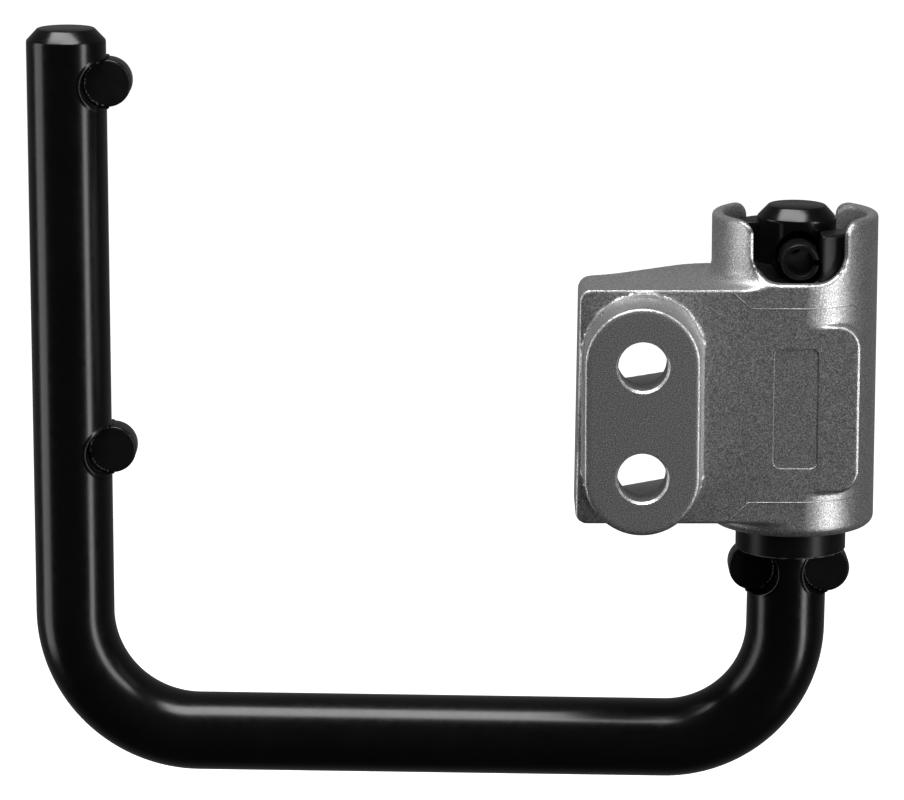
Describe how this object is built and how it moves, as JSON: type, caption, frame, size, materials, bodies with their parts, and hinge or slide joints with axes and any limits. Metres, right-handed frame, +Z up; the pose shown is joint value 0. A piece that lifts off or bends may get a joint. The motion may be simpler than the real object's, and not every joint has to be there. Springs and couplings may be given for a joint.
{
  "type": "lift-and-turn locking bar",
  "caption": "Round bar bent into a U, hung in a cast pivot housing with a two-hole mounting face. It lifts against a spring and turns a quarter turn to free the stub pins on its arms.",
  "frame": {"origin": "centre of the flat mounting face, midway between its two bolt holes", "axes": "+X from the mounting face towards the pivot barrel, with the long arm on the -X side; -Y out of the mounting face; +Z up along the pivot barrel, the way the bar is lifted"},
  "size_m": [0.2137, 0.0569, 0.1934],
  "materials": {
    "cast_housing": "investment-cast steel, bead-blasted to a fine even sparkle, edges rounded",
    "black_coat": "smooth semi-gloss black coating on steel",
    "black_steel": "blackened steel, satin, thin bright edges",
    "spring_steel": "oiled spring steel",
    "bronze": "plain bearing bronze"
  },
  "bodies": {
    "pivot_housing": {"housing": "cast_housing", "cam_sleeve": "black_steel", "cam_dowel_left": "spring_steel", "cam_dowel_right": "spring_steel", "guide_bush": "bronze", "compression_spring": "spring_steel"},
    "spring_seat": {"thrust_washer": "bronze"},
    "lock_bar": {"u_bar": "black_coat", "upper_stub_pin": "black_coat", "middle_stub_pin": "black_coat", "left_collar_stub_pin": "black_coat", "right_collar_stub_pin": "black_coat", "roll_pin": "black_steel", "collar": "black_steel"}
  },
  "joints": [
    {"name": "lift", "type": "slide", "parent": "pivot_housing", "child": "spring_seat", "axis": [0, 0, 1], "range_m": [0, 0.005], "stiffness_N_per_m": 2500, "springref_m": -0.008, "deforming": ["compression_spring"]},
    {"name": "turn", "type": "hinge", "parent": "spring_seat", "child": "lock_bar", "pos_m": [0.0395, 0.036, 0], "axis": [0, 0, 1], "range_deg": [-90, 0]}
  ]
}
